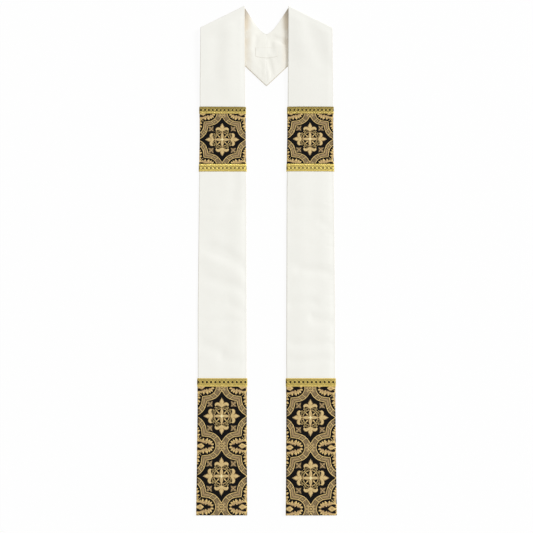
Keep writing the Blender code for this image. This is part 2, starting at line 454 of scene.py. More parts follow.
def newPiece(mesh, materials, replaced=(), sharpAngle=50):
    for finish in materials:
        mesh.materials.append(finish)
    piece = newObject(mesh.name, mesh)
    bm = bmesh.new()
    bm.from_mesh(mesh)
    bmesh.ops.recalc_face_normals(bm, faces=bm.faces)
    bm.to_mesh(mesh)
    bm.free()
    mesh.shade_smooth()
    mesh.set_sharp_from_angle(angle=math.radians(sharpAngle))
    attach(piece, "root")
    if replaced:
        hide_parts(*replaced)
    return piece


# The two cloths. A ring round each is a list of share of the width, shift in mm and offset in mm
cloth = {
    "columns": 36,
    "underColumns": 8,
    "frontStep": 0.0036,
    "fanStep": 0.0036,
    "rollSteps": 18,
    "neckStep": 0.0024,
    "edgeLines": (1.6, 2.5),  # two more lines of points inside the face's rounded edge
    "edgeTurn": 2.0,
    "step": 0.2,
    "liningInset": 2.25,
    "upperInset": 1.0,
    "liningRound": 0.45,
    "liningTop": -0.02,
    "belowMiddle": -0.5,  # what lies under this is the lining's underside
    "openFrom": 57.0,  # the neck shows inside this, in mm from the seam
    "seamDip": 0.14,
    "seamReach": 1.4,
}


def clothRows():
    hem, levelTop = lie["hemY"], lie["levelTop"]
    front = np.linspace(hem, levelTop, round((levelTop - hem) / cloth["frontStep"]))
    fan = np.linspace(levelTop, frontEnd, round((frontEnd - levelTop) / cloth["fanStep"]) + 1)
    roll = np.linspace(frontEnd, rollEnd, cloth["rollSteps"] + 1)
    nearSeam = clothEnd - 0.006  # finer rows from here to the seam
    neck = np.linspace(rollEnd, nearSeam, round((nearSeam - rollEnd) / cloth["neckStep"]) + 1)
    seam = np.linspace(nearSeam, clothEnd, 11)
    return np.concatenate([front, fan[1:], roll[1:], neck[1:], seam[1:]])


def faceRing():
    r, n, under = halfCloth / mm, cloth["columns"], cloth["underColumns"]
    turn, step = cloth["edgeTurn"], cloth["step"]
    arcs = np.radians(np.linspace(-90, 90, 9))
    ring = [(0, r * (1 - math.cos(a)), r * math.sin(a)) for a in arcs]
    ring += [(0, line, r) for line in cloth["edgeLines"]]
    ring += [(k / n, (1 - 2 * k / n) * r, r) for k in range(1, n)]
    ring += [(1, -line, r) for line in cloth["edgeLines"][::-1]]
    ring += [(1, -r * (1 - math.cos(a)), r * math.sin(a)) for a in arcs[::-1]]
    ring += [(1, -turn, -r), (1, -turn - step, 0)]
    ring += [(1 - k / under, 0, 0) for k in range(1, under)]
    return ring + [(0, turn + step, 0), (0, turn, -r)]


def liningRing():
    inset, upper, r, low = cloth["liningInset"], cloth["upperInset"], cloth["liningRound"], -halfCloth / mm
    n, under, top = cloth["columns"], cloth["underColumns"], cloth["liningTop"]
    arcs = np.radians(np.linspace(0, 90, 4))
    ring = [(0, inset + r * (1 - math.sin(a)), low + r * (1 - math.cos(a))) for a in arcs[::-1]]
    ring += [(0, inset, top)]
    ring += [(k / under, 0, top) for k in range(1, under)]
    ring += [(1, -upper, top)]
    ring += [(1, -upper - r * (1 - math.sin(a)), low + r * (1 - math.cos(a))) for a in arcs]
    return ring + [(1 - k / n, (k * inset - (n - k) * upper + (2 * k - n) * r) / n, low) for k in range(1, n)]


def layCloth(name, side, ring, finish, replaced):
    rows = clothRows()
    shares, shifts, offsets = (column[None, :] for column in np.array(ring).T)
    width = panelWidth(rows)[:, None]
    across = shares * width + shifts * mm
    along = np.repeat(rows[:, None], len(ring), axis=1)
    offset = np.repeat(offsets * mm, len(rows), axis=0)
    toSeam = (clothEnd - along) / mm
    dip = cloth["seamDip"] * mm * np.exp(-((toSeam / cloth["seamReach"]) ** 2))
    offset = np.where(offset < cloth["belowMiddle"] * mm, offset + dip, offset)
    points = layerAt(side, across, along, offset)
    mesh = ringMesh(name, points, (across / mm, along / mm, offset / mm))
    farAway = 1.0  # on the back neck, only the lower edge gets the brown edge line, partly seam and partly painted shade
    upperEdge = np.where(along > rollEnd + 0.01, farAway, width - across)
    storePoints(mesh, "edgeAt", np.minimum(across, upperEdge) / mm)
    # how far each point of the back neck is from where it goes under a front, for the painted shade there
    hidden = np.where(along > rollEnd, cloth["openFrom"] - np.abs(points[..., 0]) / mm, farAway / mm)
    storePoints(mesh, "hiddenAt", hidden)
    return newPiece(mesh, [finish], replaced)


faces, linings = {}, {}
for side in ("left", "right"):
    faces[side] = layCloth(f"face_cloth_{side}", side, faceRing(), faceFinish,
                           (f"shell_front_{side}", f"shell_neck_{side}"))
    linings[side] = layCloth(f"lining_cloth_{side}", side, liningRing(), liningFinish,
                             (f"lining_front_{side}", f"lining_neck_{side}"))
print("face cloth and lining laid")

# How a piece is dressed over the cloth: how far past its edges, the round of its edges and its height there
overFloor = 0.1 * mm  # no dressing goes lower
dress = {
    "brocade": {"past": 0.9 * mm, "round": 1.9 * mm, "top": brocadeTop, "hem": True},
    "braid": {"past": 1.2 * mm, "round": 2.3 * mm, "top": brocadeTop, "hem": False},
}


def roundedOver(past, radius):  # how far out and down a point is, that far past the start of the round
    past = np.maximum(past, 0)
    angle = np.minimum(past / radius, math.pi / 2)
    return radius * np.sin(angle), radius * (1 - np.cos(angle)) + np.maximum(past - radius * math.pi / 2, 0)


def dressedAt(side, way, across, along, sink=0.0):  # across is from the panel's middle, on over its edges
    width = panelWidth(along)
    flat = width / 2 + way["past"] - way["round"]
    out, down = roundedOver(np.abs(across) - flat, way["round"])
    if way["hem"]:
        turn = lie["hemY"] - way["past"] + way["round"]
        below, downHem = roundedOver(turn - along, way["round"])
        along = np.where(along < turn, turn - below, along)
        down = down + downHem
    offset = np.maximum(way["top"] - down - sink, overFloor - halfCloth)
    reached = np.sign(across) * (np.minimum(np.abs(across), flat) + out)
    return layerAt(side, width / 2 + reached, along, offset)


def dressed(side, way, across, along, height, sink=0.0):  # the same, and raised that much off the surface
    step = 0.25 * mm
    here = dressedAt(side, way, across, along, sink)
    over = dressedAt(side, way, across + step, along, sink) - here
    on = dressedAt(side, way, across, along + step, sink) - here
    out = np.cross(over, on) * mirror[side]
    lost = np.linalg.norm(out, axis=-1) < 1e-10
    corner = np.stack([np.sign(across) * mirror[side], -np.ones_like(across), np.zeros_like(across)], -1)
    out = unit(np.where(lost[..., None], corner, out))
    return here + out * np.asarray(height)[..., None]


turns = [np.array([[math.cos(a), -math.sin(a)], [math.sin(a), math.cos(a)]])
         for a in np.radians([0, 90, 180, 270])]
flip = np.array([[-1, 0], [0, 1]])
copies = {"once": [np.eye(2)], "four": turns, "eight": turns + [t @ flip for t in turns]}
sections = {  # shares across a strip, and shares of its height there
    "round": ([0, 0.16, 0.5, 0.84, 1], [0, 0.72, 1, 0.72, 0]),
    "plate": ([0, 0, 0.5, 1, 1], [0, 1, 1, 1, 0]),
    "petal": ([0, 0.12, 0.32, 0.5, 0.68, 0.88, 1], [0, 0.62, 0.95, 0.86, 0.95, 0.62, 0]),
}


def curve(points, steps):  # a smooth line through a few points
    points = np.array(points, float)
    at = np.concatenate([[0], np.cumsum(np.linalg.norm(np.diff(points, axis=0), axis=1))])
    slopes = np.gradient(points, at, axis=0)
    t = np.linspace(0, at[-1], steps + 1)
    k = np.clip(np.searchsorted(at, t, side="right") - 1, 0, len(at) - 2)
    gap = at[k + 1] - at[k]
    s = ((t - at[k]) / gap)[:, None]
    gap = gap[:, None]
    return (points[k] * (1 + 2 * s) * (1 - s) ** 2 + slopes[k] * gap * s * (1 - s) ** 2
            + points[k + 1] * s * s * (3 - 2 * s) + slopes[k + 1] * gap * s * s * (s - 1))


def arc(centre, radius, start, end, steps):
    a = np.radians(np.linspace(start, end, steps + 1))
    return np.stack([centre[0] + radius * np.cos(a), centre[1] + radius * np.sin(a)], -1)


class Relief:  # closed strips that lie on a cloth, in mm: across, along and up
    def __init__(self, each):  # how many copies are made of what doesn't say it
        self.each = each
        self.points = []
        self.crests = []
        self.faces = []
        self.kinds = []
        self.count = 0

    def keep(self, plan, up, crests, faces, kind, each):
        for copy in copies[each or self.each]:
            self.points.append(np.column_stack([plan @ copy.T, up]))
            self.crests.append(crests)
            self.faces += [[v + self.count for v in face] for face in faces]
            self.kinds += [kind] * len(faces)
            self.count += len(plan)

    def band(self, left, right, low, high, kind, section="plate", each=None):  # between two lines
        shares, rises = (np.array(column) for column in sections[section])
        left, right = np.asarray(left)[:, None], np.asarray(right)[:, None]
        plan = left + (right - left) * shares[None, :, None]
        up = np.broadcast_to(low + (np.asarray(high) - low).reshape(-1, 1) * rises, plan.shape[:2])
        crest = np.broadcast_to(np.minimum(shares, 1 - shares) * 2, plan.shape[:2])
        faces = tubeFaces(len(plan), len(shares))
        self.keep(plan.reshape(-1, 2), up.ravel(), crest.ravel(), faces, kind, each)

    def strip(self, path, widths, low, high, kind, section="round", each=None):  # along a line
        path = np.asarray(path, float)
        run = np.gradient(path, axis=0)
        run /= np.linalg.norm(run, axis=1, keepdims=True)
        aside = np.stack([-run[:, 1], run[:, 0]], -1)
        steps = np.linalg.norm(np.diff(path, axis=0), axis=1)
        at = np.concatenate([[0], np.cumsum(steps)]) / steps.sum()
        half = np.interp(at, np.linspace(0, 1, len(widths)), widths)[:, None] / 2
        lowest, fullFrom = 0.35, 1 / 1.6  # thin ends lie lower
        heights = low + (high - low) * np.clip(half[:, 0] / half.max() / fullFrom, lowest, 1)
        self.band(path + aside * half, path - aside * half, low, heights, kind, section, each)

    def line(self, points, steps, *shape, **how):  # along a smooth line through a few points
        self.strip(curve(points, steps), *shape, **how)

    def dome(self, centre, radius, low, high, kind, each=None, sides=10):
        circle = arc((0, 0), 1, 0, 360, sides)[:-1]
        plan = np.concatenate([circle * radius * share + centre for share in (1.0, 0.8, 0.4)])
        up = np.repeat([low, low + (high - low) * 0.7, high], sides)
        self.keep(plan, up, np.repeat([0.0, 0.5, 1.0], sides), tubeFaces(3, sides), kind, each)

    def mesh(self, name, shifts, stretch=(1, 1, 1), slip=0.0):  # copies of it along the cloth
        points, crests = np.concatenate(self.points) * stretch, np.concatenate(self.crests)
        n = len(points)
        mesh = bpy.data.meshes.new(name)
        moved = np.concatenate([points + (slip, s, 0) for s in shifts])
        faces = [[v + n * k for v in face] for k in range(len(shifts)) for face in self.faces]
        mesh.from_pydata(moved.tolist(), [], faces)
        mesh.polygons.foreach_set("material_index", self.kinds * len(shifts))
        # how near each point is to its strip's crest, for the painted highlight there
        storePoints(mesh, "crestAt", np.tile(crests, len(shifts)))
        return mesh


def sliced(bm, axis, at, way=1, clear=False):
    facing = Vector([float(k == axis) for k in range(3)])
    geometry = bm.verts[:] + bm.edges[:] + bm.faces[:]
    made = bmesh.ops.bisect_plane(bm, geom=geometry, dist=1e-5, plane_co=facing * at, plane_no=facing * way,
                                  clear_outer=clear)
    return made["geom_cut"]


def cutOff(mesh, limits, more=()):  # what lies past each limit is cut away, and the cuts are closed
    bm = bmesh.new()
    bm.from_mesh(mesh)
    for axis, at in more:  # more points where the cloth turns over its edges
        sliced(bm, axis, at)
    for axis, at, way in limits:
        cut = sliced(bm, axis, at, way, True)
        edges = [e for e in cut if isinstance(e, bmesh.types.BMEdge) and e.is_boundary]
        bmesh.ops.edgeloop_fill(bm, edges=edges)
    bm.to_mesh(mesh)
    bm.free()


def layRelief(side, mesh, way, materials, alongAt=lambda y: y, sinkAt=lambda y: 0.0):
    flat = np.zeros(len(mesh.vertices) * 3)
    mesh.vertices.foreach_get("co", flat)
    flat = flat.reshape(-1, 3)
    across, along, height = flat.T * mm
    placed = dressed(side, way, across, alongAt(along), height, sinkAt(along))
    mesh.vertices.foreach_set("co", placed.astype(np.float32).ravel())
    storePoints(mesh, "clothAt", flat, "FLOAT_VECTOR")
    return newPiece(mesh, materials, sharpAngle=60)


# The brocade's figure, in mm from the middle of a cross: a fleury cross in a black field with four points,
# framed by the borders of four-lobed medallions with two acanthus leaves and a bud in each lobe
figure = {
    "repeat": 144.0,
    "laid": {  # a cross's place off the panel's middle and along, and how far the piece is stretched
        ("upper", "left"): (-1.3, 283.3, 1.02, 1.05),
        ("upper", "right"): (1.3, 284.7, 1.02, 1.05),
        ("lower", "left"): (-0.9, -447.3, 1.0, 0.9956),
        ("lower", "right"): (1.6, -451.1, 1.0, 1.0),
    },
    "outer": [(0, 62.0), (2.7, 58.2), (5.6, 53.5), (9.2, 49.2), (13.1, 45.8), (17.2, 43.0), (21.2, 41.1),
              (26.8, 39.4), (32.0, 38.2), (37.0, 37.4)],
    "inner": [(14.2, 72.0), (15.0, 66.4), (17.4, 61.0), (21.0, 56.6), (25.6, 53.2), (30.4, 51.0),
              (36.0, 49.8), (41.8, 49.2), (48.2, 48.4)],
    "plateLow": -0.08,
    "low": -0.06,
    "plateHigh": 0.10,
    "lineHigh": 0.30,
    "lineWidth": 1.8,
    "leafHigh": 0.34,
    "goldHigh": 0.50,
}
black, taupe, gold, dark, leafy, pale, shine = range(7)


def outOf(line, amount):  # the same line, moved to its left
    run = np.gradient(np.asarray(line, float), axis=0)
    run /= np.linalg.norm(run, axis=1, keepdims=True)
    return line + np.stack([-run[:, 1], run[:, 0]], -1) * amount


def borderPoint(share, depth):  # a place on a medallion's border, along it and across it
    share, depth = np.broadcast_arrays(np.asarray(share, float), np.asarray(depth, float))
    steps = 80
    at = np.clip(share, 0, 1) * steps
    places = []
    for key in ("outer", "inner"):
        line = curve(figure[key], steps)
        places.append(np.stack([np.interp(at, np.arange(steps + 1), line[:, k]) for k in (0, 1)], -1))
    return places[0] + (places[1] - places[0]) * depth[..., None]


def onBorder(relief, path, widths, rise, kind=dark, section="plate"):  # a line on a medallion's border
    top = figure["plateHigh"]
    relief.strip(path, widths, top - 0.05, top + rise, kind, section)


def frameRelief(relief):  # the medallions' borders, an eighth at a time
    f = figure
    low, w = f["plateLow"], f["lineWidth"]
    outer, inner = curve(f["outer"], 26), curve(f["inner"], 26)
    toRosette = np.linspace((0, f["repeat"] / 2), f["outer"][0], 5)[:-1]
    past = np.linspace(f["inner"][0], f["inner"][0], 4)
    relief.band(np.concatenate([toRosette, outer]), np.concatenate([past, inner]), low, f["plateHigh"], taupe)
    for edge in (outOf(outer, w * 0.35), outOf(inner, -w * 0.3)):
        relief.strip(edge, [w], low, f["lineHigh"], gold)
    for edge in (outOf(outer, 2.3), outOf(inner, -1.9)):
        onBorder(relief, edge, [0.6], 0.08)


def cell(relief, start, end, near, far):  # a dark outline round a place on the border
    down, up = np.linspace(start, end, 7), np.linspace(near, far, 4)
    shares = np.concatenate([down, np.full(2, end), down[::-1], np.full(2, start), down[:1]])
    depths = np.concatenate([np.full(7, near), up[1:3], np.full(7, far), up[2:0:-1], [near]])
    outline = borderPoint(shares, depths)
    inwards = borderPoint((start + end) / 2, (near + far) / 2) - outline
    inside = outline + inwards / np.linalg.norm(inwards, axis=1, keepdims=True) * 1.1
    relief.band(outline, inside, figure["plateHigh"] - 0.05, figure["plateHigh"] + 0.1, dark)


def cellBand(relief):  # cells in the border: long, square with a diamond, and long round the corner
    top, near, far, corner = figure["plateHigh"], 0.24, 0.78, 0.655
    for start, end in ((0.12, 0.335), (0.395, 0.585)):
        cell(relief, start, end, near, far)
    for depth in (0.27, 0.75):
        onBorder(relief, borderPoint(np.linspace(corner, 1, 9), depth), [0.7], 0.1)
    onBorder(relief, borderPoint(corner, np.linspace(near, far, 4)), [1.0], 0.1)
    for share in (0.365, 0.615):
        onBorder(relief, borderPoint(share, np.linspace(0.04, 0.96, 5)), [1.3], 0.16, gold, "round")
    square = borderPoint(0.49, 0.51)
    relief.dome(square, 2.5, top - 0.05, top + 0.1, dark, sides=4)
    relief.dome(square, 1.5, top - 0.05, top + 0.22, gold, sides=4)
    for start, end, bars in ((0.16, 0.3, 4), (0.69, 1.0, 0)):
        path = borderPoint(np.linspace(start, end, 9), 0.51)
        onBorder(relief, path, [0.7, 1.9, 1.9, 1.9], 0.14, leafy, "round")
        for share in start + (np.arange(bars) + 0.5) * (end - start) / max(bars, 1):
            bar = borderPoint(share, np.linspace(0.36, 0.66, 3))
            relief.strip(bar, [0.6], top, top + 0.18, dark, "plate")


def rosette(relief):  # where two medallions meet
    half, top = figure["repeat"] / 2, figure["plateHigh"]
    relief.dome((0, half), 1.0, top, top + 0.2, dark, "four", 8)
    for radius, width, rise, kind in ((2.2, 1.6, 0.2, gold), (4.2, 1.9, 0.1, dark), (6.2, 1.4, 0.2, gold)):
        onBorder(relief, arc((0, half), radius, -90, 0, 8), [width], rise, kind, "round")
    for points, width, rise, kind in (
        ([(4.9, half - 4.9), (6.2, half - 6.4), (7.6, half - 9.2)], 1.6, 0.14, gold),
        ([(0.0, half - 7.2), (0.0, half - 9.0), (0.0, half - 12.0)], 1.5, 0.14, gold),
        ([(2.5, half - 7.6), (3.4, half - 9.2), (2.8, half - 11.6)], 1.7, 0.1, dark),
        ([(7.4, half - 2.5), (9.8, half - 3.6), (11.6, half - 6.0)], 1.9, 0.1, dark),
        ([(7.4, half), (9.6, half), (12.6, half)], 1.5, 0.14, gold),
    ):
        onBorder(relief, curve(points, 8), [0.4, width, width * 0.8, 0.3], rise, kind, "round")


def stud(relief):  # a four-petalled square in each notch of the field
    at, reach, top = 28.8, 6.4, figure["plateHigh"]
    heart, near, far = (at, at), at - reach, at + reach + 1.6
    corners = [(near, near), (far, near), (far, far), (near, far)]
    edge = []
    for (x0, y0), (x1, y1) in zip(corners, corners[1:] + corners[:1]):
        t = np.linspace(0, 1, 7)[:-1]
        inwards = np.array([at - (x0 + x1) / 2, at - (y0 + y1) / 2])
        inwards /= np.linalg.norm(inwards)
        pinch = 1.5 * np.sin(math.pi * t)[:, None] * inwards
        edge += (np.array([(x0, y0)]) + t[:, None] * np.array([(x1 - x0, y1 - y0)]) + pinch).tolist()
    edge = np.array(edge + edge[:1])
    core = (edge - at) * 0.12 + at
    relief.band(edge, core, figure["plateLow"], top, taupe, each="four")
    for turn in (45, 135, 225, 315):
        tip = arc(heart, 5.6, turn, turn, 0)[0]
        relief.line([heart, (tip + at) / 2, tip], 6, [0.6, 2.4, 1.8, 0.4], top - 0.05, top + 0.2, leafy,
                    "petal", each="four")
        vein = np.linspace(heart, arc(heart, 4.6, turn + 45, turn + 45, 0)[0], 4)
        relief.strip(vein, [1.0, 3.2, 2.4], top - 0.04, top + 0.08, dark, each="four")
    relief.dome(heart, 1.1, top, top + 0.36, gold, "four", 8)
    relief.dome((at - 0.2, at + 6.9), 2.4, top - 0.04, top + 0.09, black, sides=8)


def crossRelief(relief):
    low, high = figure["low"], figure["goldHigh"]
    relief.line([(0, 0.2), (0, 4), (0, 9), (0, 13), (0, 16.4)], 12, [6.4, 7.6, 8.4, 8.0, 4.4], low, high,
                pale, "petal", each="four")
    relief.line([(0, 3.4), (0, 9), (0, 14.4)], 8, [0.5, 1.6, 0.5], high * 0.8, high + 0.05, leafy,
                each="four")
    relief.dome((0, 0), 3.6, low, high + 0.08, pale, "once", 12)
    # a painted highlight in the bright thread where the arms cross
    star = [(0, 0.1), (0, 2.6), (0, 5.0)]
    relief.strip(star, [3.0, 2.4, 0.4], high * 0.8, high + 0.14, shine, each="four")
    collar = [(-5.6, 19.6), (-3, 18.2), (0, 17.6), (3, 18.2), (5.6, 19.6)]
    relief.strip(collar, [1.6, 2.4, 2.6, 2.4, 1.6], low, high * 0.66, leafy, each="four")
    relief.line([(0, 16.4), (0, 21.6)], 3, [2.4, 1.2], low, high * 0.75, gold, each="four")
    # middle petal of each end
    relief.line([(0, 20.4), (0, 27), (0, 33), (0, 37), (0, 41), (0, 45.3)], 24,
                [0.6, 5.2, 7.6, 7.8, 8.6, 12.2, 10.4, 5.4, 2.4, 0.3], low, high, pale, "petal", each="four")
    vein = [(0, 24.0), (0, 30.0), (0, 35.8)]
    relief.strip(vein, [0.3, 1.3, 0.4], high * 0.78, high + 0.06, leafy, each="four")
    relief.line([(2.6, 35.6), (3.6, 38.6), (1.6, 43.0)], 6, [0.3, 0.8, 0.3], high * 0.7, high + 0.04, leafy)
    # side petals, which curl over
    relief.line([(2.0, 22.6), (4.4, 26.6), (8.4, 29.2), (12.0, 29.4), (14.9, 27.4), (15.2, 23.9)], 22,
                [1.2, 5.4, 7.6, 8.6, 9.0, 8.4, 5.6, 1.2], low, high * 0.94, pale, "petal")
    relief.line([(3.2, 25.2), (7.4, 28.0), (11.6, 28.4), (13.6, 26.6)], 12, [0.3, 1.1, 1.0, 0.3], high * 0.76,
                high + 0.02, leafy)
    relief.line([(3.4, 30.6), (5.4, 33.4), (5.0, 36.4)], 8, [0.4, 1.2, 0.4], low + 0.04, high * 0.9, leafy)


def filigree(relief):  # thin scrolls between the arms
    low, high, corner = figure["low"], figure["lineHigh"] + 0.02, 8.6
    for points, width in (
        ([(2.6, 17.4), (6.4, 16.8), (10.0, 15.2), (12.8, 12.8)], 1.7),
        ([(3.0, 20.6), (6.0, 22.0), (9.6, 22.0), (13.2, 20.2), (14.6, 17.8), (14.8, 15.2)], 1.1),
        ([(7.4, 16.4), (9.6, 18.6), (12.4, 18.4), (12.9, 15.8)], 1.0),
        ([(12.6, 12.6), (14.2, 14.2), (15.8, 15.8)], 2.2),
        ([(13.0, 20.6), (15.6, 22.2), (16.9, 20.4), (15.6, 18.8)], 1.3),
    ):
        widths = [0.6, width * 0.85, width * 0.85, width * 0.6]
        relief.line(points, 4 * len(points), widths, low, high, gold)
    relief.line([(5.0, 5.0), (8.4, 8.4), (12.4, 12.4)], 8, [0.8, 3.2, 2.6, 1.2], low, high + 0.04, gold,
                each="four")
    for tip in ((4.4, 9.6), (9.6, 4.4)):
        relief.strip(np.linspace((corner, corner), tip, 4), [1.4, 1.2, 0.3], low, high, leafy, each="four")


def leafRelief(relief):  # the acanthus leaf in a lobe of a medallion
    low, high = figure["low"], figure["leafHigh"]
    spine = curve([(21.6, 71.2), (25.6, 67.6), (30.0, 65.0), (35.0, 63.6), (41.0, 62.4), (47.0, 60.8),
                   (53.0, 59.8), (60.0, 60.8), (67.0, 62.8), (71.0, 64.0)], 44)
    relief.strip(spine, [1.4, 6.2, 8.6, 9.8, 8.8, 6.2, 4.2, 3.0, 2.6, 2.4], low, high * 0.74, leafy, "petal")
    relief.strip(spine[3:36], [0.4, 1.2, 1.2, 1.4, 1.0], high * 0.56, high - 0.02, gold)
    for root, tip, width in (
        ((46.8, 60.6), (45.0, 52.9), 5.4),
        ((38.8, 61.6), (34.9, 53.2), 6.6),
        ((33.4, 62.6), (28.5, 56.4), 5.2),
        ((29.4, 64.4), (23.0, 60.0), 5.6),
        ((26.2, 68.2), (18.6, 67.0), 5.2),
        ((52.4, 59.6), (51.2, 55.6), 3.2),
    ):
        root, tip = np.array(root), np.array(tip)
        run = (tip - root) / np.linalg.norm(tip - root)
        root = root + run * 1.8
        lean = np.array([run[1], -run[0]]) * 0.8
        tooth = [width, width * 1.05, width * 0.85, width * 0.5, 0.4]
        relief.line([root, (root + tip) / 2 + lean, tip], 8, tooth, low, high + 0.06, gold, "petal")
        vein = np.linspace(root + run * 0.4, tip - run * 2.4, 4)
        relief.strip(vein, [0.8, 1.2, 0.3], high * 0.8, high + 0.09, leafy)
    for start, end, width in (
        ((35.8, 71.8), (33.8, 63.2), 7.0),
        ((41.8, 67.4), (40.2, 63.4), 2.8),
        ((28.4, 71.6), (27.2, 67.4), 2.6),
    ):
        notch = [width, width * 0.7, width * 0.25]
        relief.strip(np.linspace(start, end, 5), notch, high * 0.3, high + 0.10, black)
    relief.line([(38.6, 66.6), (36.4, 65.6), (35.6, 67.2)], 5, [0.5, 2.0, 1.6], low, high, gold)


def budRelief(relief):  # stem from the corner, and the bud and star in the middle of a lobe
    low, high, half = figure["low"], figure["leafHigh"], figure["repeat"] / 2
    relief.line([(half - 0.4, half - 0.4), (60, 60), (50.0, 50.0)], 12, [3.2, 2.6, 0.8], low, high, gold,
                each="four")
    relief.line([(50.8, 57.2), (55.4, 58.2), (61.0, 61.2), (69.0, 62.6)], 12, [0.6, 1.8, 2.2, 1.6], low,
                high + 0.1, gold)
    relief.line([(42.2, half), (47.0, half), (53.0, half), (60.0, half), (70.0, half)], 20,
                [0.4, 7.4, 14.0, 12.6, 8.0, 5.0, 4.0, 3.4, 3.0], low, high, gold, "petal", each="four")
    relief.line([(46.6, half), (51.0, half), (56.4, half)], 8, [0.6, 4.6, 4.0, 0.6], high * 0.8, high + 0.06,
                leafy, each="four")
    relief.line([(45.0, half - 1.2), (49.8, half - 4.4), (55.0, half - 2.6)], 8, [0.3, 1.0, 0.4], high * 0.5,
                high + 0.08, leafy)
    relief.line([(57.6, half - 3.4), (62.0, half - 5.8), (68.0, half - 5.4)], 10, [0.4, 2.6, 1.6, 0.8], low,
                high, leafy)


tile = Relief("eight")
for motif in (frameRelief, cellBand, rosette, stud, crossRelief, filigree, leafRelief, budRelief):
    motif(tile)

thread = {
    "ground": (0.0050, 0.0048, 0.0055),
    "fleck": (0.022, 0.017, 0.010),
    # each Dull colour is the painted shade at the rims of raised strips, and their darker random tone
    "taupe": (0.320, 0.230, 0.112),
    "taupeDull": (0.215, 0.148, 0.070),
    "leaf": (0.430, 0.285, 0.140),
    "leafDull": (0.210, 0.132, 0.060),
    "gold": (0.750, 0.550, 0.225),
    "goldDull": (0.340, 0.228, 0.082),
    "pale": (0.680, 0.510, 0.232),
    "paleDull": (0.260, 0.165, 0.066),
    "dark": (0.120, 0.086, 0.046),
    "bright": (0.860, 0.780, 0.460),
    "ribs": 0.42,  # mm from one rib of the weave to the next
    "lattice": 3.1,
}


def threadFinish(name, clear, dull, roughness, metallic, specular):  # floats of weft over a few warps
    f = Finish(name, {"Roughness": roughness, "Metallic": metallic, "Specular IOR Level": specular})
    clouds = f.noise(0.09, 3.0)
    floats = f.noise(1.0, 2.0, (0.35, 3.2, 1))
    # painted light: each raised strip is lighter along its crest and darker at its rims, mixed with random
    # tone
    crest = f.read("crestAt")
    share = (crest * 1.7 + clouds * 1.1 + floats * 0.5 - 0.8).clamped()
    f.set("Base Color", f.mixed(share, dull, clear))
    f.set("Roughness", roughness + 0.1 - floats * 0.2)
    ribs = (f.read("clothAt", 1) * (2 * math.pi / thread["ribs"])).sine() * 0.5 + 0.5
    f.bump(ribs * 0.7 + floats * 0.7, 0.5, 0.00010)
    return f.material


def groundFinish():
    f = Finish("black brocade ground", {"Roughness": 0.7, "Specular IOR Level": 0.05})
    over, on = (f.read("clothAt", part) * (2 * math.pi / thread["lattice"]) for part in (0, 1))
    lattice = ((over + on).sine() * (over - on).sine()) * 0.5 + 0.5
    flecks = (f.noise(1.6, 2.0) * 1.5 - 0.55 + lattice * 0.35).clamped()
    f.set("Base Color", f.mixed(flecks ** 3, thread["ground"], thread["fleck"]))
    f.bump(weave(f, 0.5, 0.55) + lattice * 0.8, 0.4, 0.00006)
    return f.material


brocadeFinishes = [groundFinish()]
for name, clear, dull, *surface in (  # and roughness, metallic and specular
    ("taupe", "taupe", "taupeDull", 0.6, 0.1, 0.1),
    ("gold", "gold", "goldDull", 0.5, 0.25, 0.12),
    ("dark", "dark", "ground", 0.6, 0.0, 0.1),
    ("leaf", "leaf", "leafDull", 0.55, 0.15, 0.1),
    ("pale gold", "pale", "paleDull", 0.5, 0.2, 0.12),
    # the bright thread is a painted highlight
    ("bright", "bright", "pale", 0.5, 0.1, 0.25),
):
    brocadeFinishes.append(threadFinish(f"{name} brocade thread", thread[clear], thread[dull], *surface))
brocade = {
    "upper": {"from": 0.1966, "to": 0.3784},
    "lower": {"from": lie["hemY"], "to": -0.3559},
    "step": 0.0042,
    "columns": 30,
    "wall": 1.15 * mm,
    "wrap": 1.7 * mm,  # length down the edge past its round
    "edgeColumns": 8,
    "hemRows": 12,
    "cutAcross": 65.4,
    "underBraid": 18.8,  # the figure ends this far in from the raw ends, in mm
    "pastHem": 4.2,
    "moreAcross": (61.6, 62.2, 62.8, 63.4, 64.0, 64.7),  # more points, where it turns over the edges
    "morePastHem": (-1.2, -0.5, 0.2, 1.0, 2.0),
}


def brocadeGround(name, side, low, high):
    way = dress["brocade"]
    roundRun = way["round"] * math.pi / 2
    rows = np.linspace(low, high, round((high - low) / brocade["step"]))
    if low == lie["hemY"]:
        start = low - way["past"] + way["round"]
        turnRows = np.linspace(start - roundRun - brocade["wrap"], start, brocade["hemRows"])
        rows = np.concatenate([turnRows, rows[rows > start + mm]])
    half = panelWidth(rows)[:, None] / 2 + way["past"] - way["round"]
    edge = np.linspace(0, roundRun + brocade["wrap"], brocade["edgeColumns"] + 1)[1:]
    flat = np.linspace(-1, 1, brocade["columns"] + 1)
    shares = np.concatenate([-np.ones(len(edge)), flat, np.ones(len(edge))])[None]
    extras = np.concatenate([-edge[::-1], np.zeros(len(flat)), edge])[None]
    across = half * shares + extras
    along = np.repeat(rows[:, None], across.shape[1], 1)
    top = dressed(side, way, across, along, np.zeros_like(across))
    under = dressed(side, way, across, along, np.full_like(across, -brocade["wall"]))
    points = ringed(top, under)
    points[..., 2] = np.maximum(points[..., 2], overFloor)
    mesh = ringMesh(name, points, (ringed(across, across) / mm, ringed(along, along) / mm, 0))
    return newPiece(mesh, [brocadeFinishes[black]], [name.replace("_cloth", "")])


